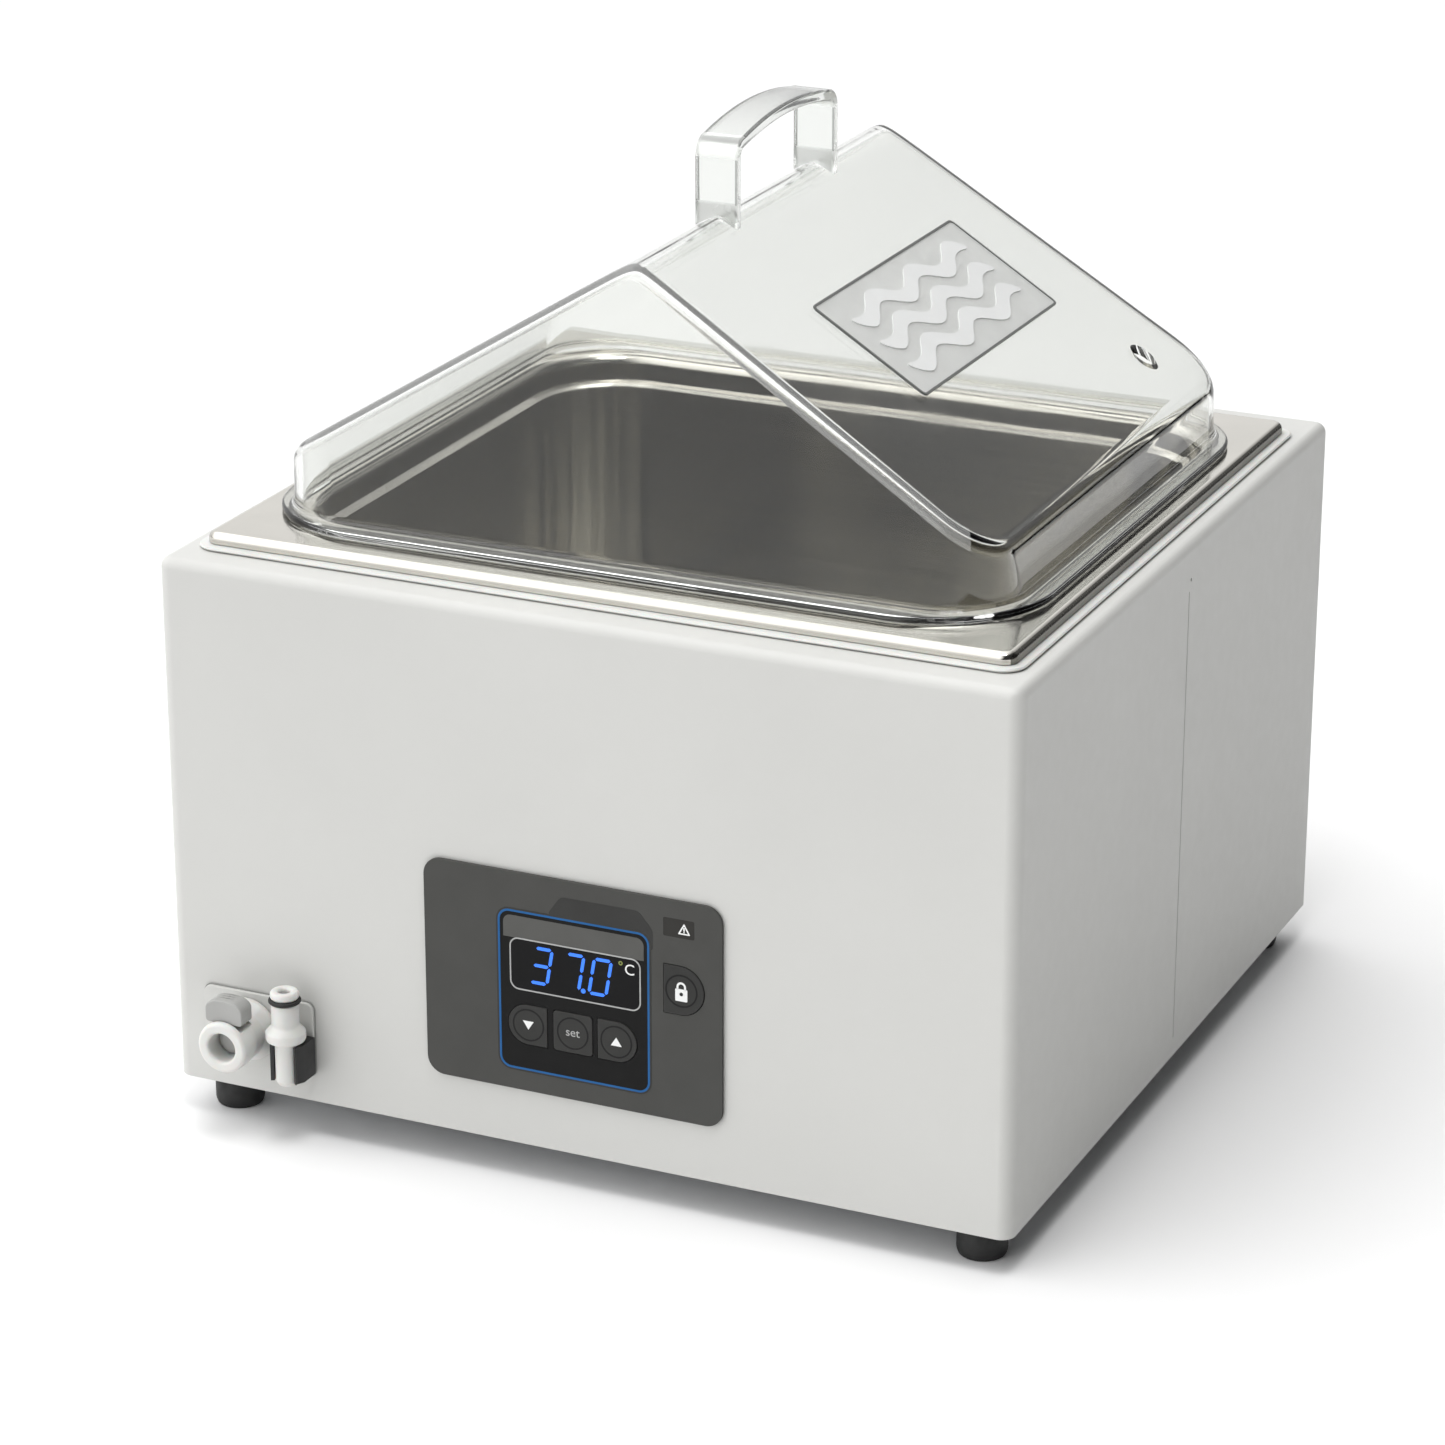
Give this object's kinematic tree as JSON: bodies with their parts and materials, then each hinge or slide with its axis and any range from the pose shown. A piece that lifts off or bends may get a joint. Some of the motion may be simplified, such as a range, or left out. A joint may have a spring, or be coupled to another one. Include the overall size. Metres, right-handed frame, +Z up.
{
  "type": "water bath",
  "caption": "Benchtop heated water bath: square white casing, stainless tank, clear gable lid with strap handle, front panel with display, quick-release drain.",
  "frame": {"origin": "on the bench, under the middle of the whole bath's box, at the feet's undersides", "axes": "+Z up, +X to the operator's right, the control panel faces -Y"},
  "size_m": [0.34, 0.3669, 0.374],
  "materials": {
    "white_coat": "fine-textured white powder coat",
    "stainless": "satin stainless steel",
    "zinc_steel": "zinc plated",
    "clear_polycarbonate": "clear vacuum-formed sheet",
    "black_rubber": "matt moulded rubber",
    "silicone": "translucent silicone",
    "panel_grey": "fine matt membrane overlay",
    "key_dark": "satin key cap",
    "screen_black": "gloss dark window",
    "alarm_tint": "gloss tinted lens",
    "circuit_green": "solder-masked circuit board",
    "white_plastic": "moulded white plastic",
    "grey_plastic": "moulded grey plastic",
    "black_plastic": "fine-textured black plastic",
    "felt": "pressed fibre felt",
    "heater_foil": "etched foil heater in amber film",
    "brass": "plain brass",
    "lead_grey": "sheathed lead",
    "lead_brown": "sheathed lead"
  },
  "bodies": {
    "base": {"front_casing": "white_coat", "rear_casing": "white_coat", "base_plate": "zinc_steel", "tank": "stainless", "tank_gasket": "silicone", "tank_clamp_left": "zinc_steel", "tank_clamp_right": "zinc_steel", "tank_insulation": "felt", "heater_mat": "heater_foil", "overtemp_cutout": "zinc_steel", "temp_probe": "stainless", "control_panel": "panel_grey", "display_window": "screen_black", "alarm_lens": "alarm_tint", "key_mat": "black_rubber", "display_module": "black_plastic", "display_board": "circuit_green", "drain_plate": "white_plastic", "drain_socket": "white_plastic", "socket_nut": "zinc_steel", "insert_clip": "black_plastic", "tank_drain_spigot": "stainless", "drain_hose": "silicone", "power_board": "circuit_green", "mains_inlet": "black_plastic", "earth_stud": "brass", "mains_lead": "lead_grey", "heater_lead": "lead_brown", "display_lead": "lead_grey", "foot_front_left": "black_rubber", "foot_screw_front_left": "zinc_steel", "foot_front_right": "black_rubber", "foot_screw_front_right": "zinc_steel", "foot_back_left": "black_rubber", "foot_screw_back_left": "zinc_steel", "foot_back_right": "black_rubber", "foot_screw_back_right": "zinc_steel"},
    "lid": {"lid_shell": "clear_polycarbonate", "lid_handle": "clear_polycarbonate"},
    "tray": {"base_tray": "stainless"},
    "down_key": {"key_down": "key_dark"},
    "set_key": {"key_set": "key_dark"},
    "up_key": {"key_up": "key_dark"},
    "lock_key": {"key_lock": "key_dark"},
    "latch": {"drain_latch": "grey_plastic"},
    "poppet": {"drain_poppet": "grey_plastic"},
    "insert": {"drain_insert": "white_plastic", "insert_o_ring": "black_rubber"},
    "fuse_holder": {"fuse_drawer": "black_plastic", "fuse": "brass"},
    "rocker": {"switch_rocker": "black_plastic"}
  },
  "joints": [
    {"name": "lid_lift", "type": "slide", "parent": "base", "child": "lid", "axis": [0, 0, 1], "range_m": [0, 0.15]},
    {"name": "tray_lift", "type": "slide", "parent": "base", "child": "tray", "axis": [0, 0, 1], "range_m": [0, 0.1]},
    {"name": "down_key_press", "type": "slide", "parent": "base", "child": "down_key", "axis": [0, 1, 0], "range_m": [0, 0.0004], "stiffness_N_per_m": 4000},
    {"name": "set_key_press", "type": "slide", "parent": "base", "child": "set_key", "axis": [0, 1, 0], "range_m": [0, 0.0004], "stiffness_N_per_m": 4000},
    {"name": "up_key_press", "type": "slide", "parent": "base", "child": "up_key", "axis": [0, 1, 0], "range_m": [0, 0.0004], "stiffness_N_per_m": 4000},
    {"name": "lock_key_press", "type": "slide", "parent": "base", "child": "lock_key", "axis": [0, 1, 0], "range_m": [0, 0.0004], "stiffness_N_per_m": 4000},
    {"name": "latch_press", "type": "slide", "parent": "base", "child": "latch", "axis": [0, 0, -1], "range_m": [0, 0.002], "stiffness_N_per_m": 1500},
    {"name": "poppet_press", "type": "slide", "parent": "base", "child": "poppet", "axis": [0, 1, 0], "range_m": [0, 0.003], "stiffness_N_per_m": 800},
    {"name": "insert_lift", "type": "slide", "parent": "base", "child": "insert", "axis": [0, 0, 1], "range_m": [0, 0.05]},
    {"name": "fuse_drawer_slide", "type": "slide", "parent": "base", "child": "fuse_holder", "axis": [0, 1, 0], "range_m": [0, 0.012]},
    {"name": "rocker_switch", "type": "hinge", "parent": "base", "child": "rocker", "pos_m": [0.105, 0.17505, 0.084], "axis": [-1, 0, 0], "range_deg": [0, 22]}
  ]
}
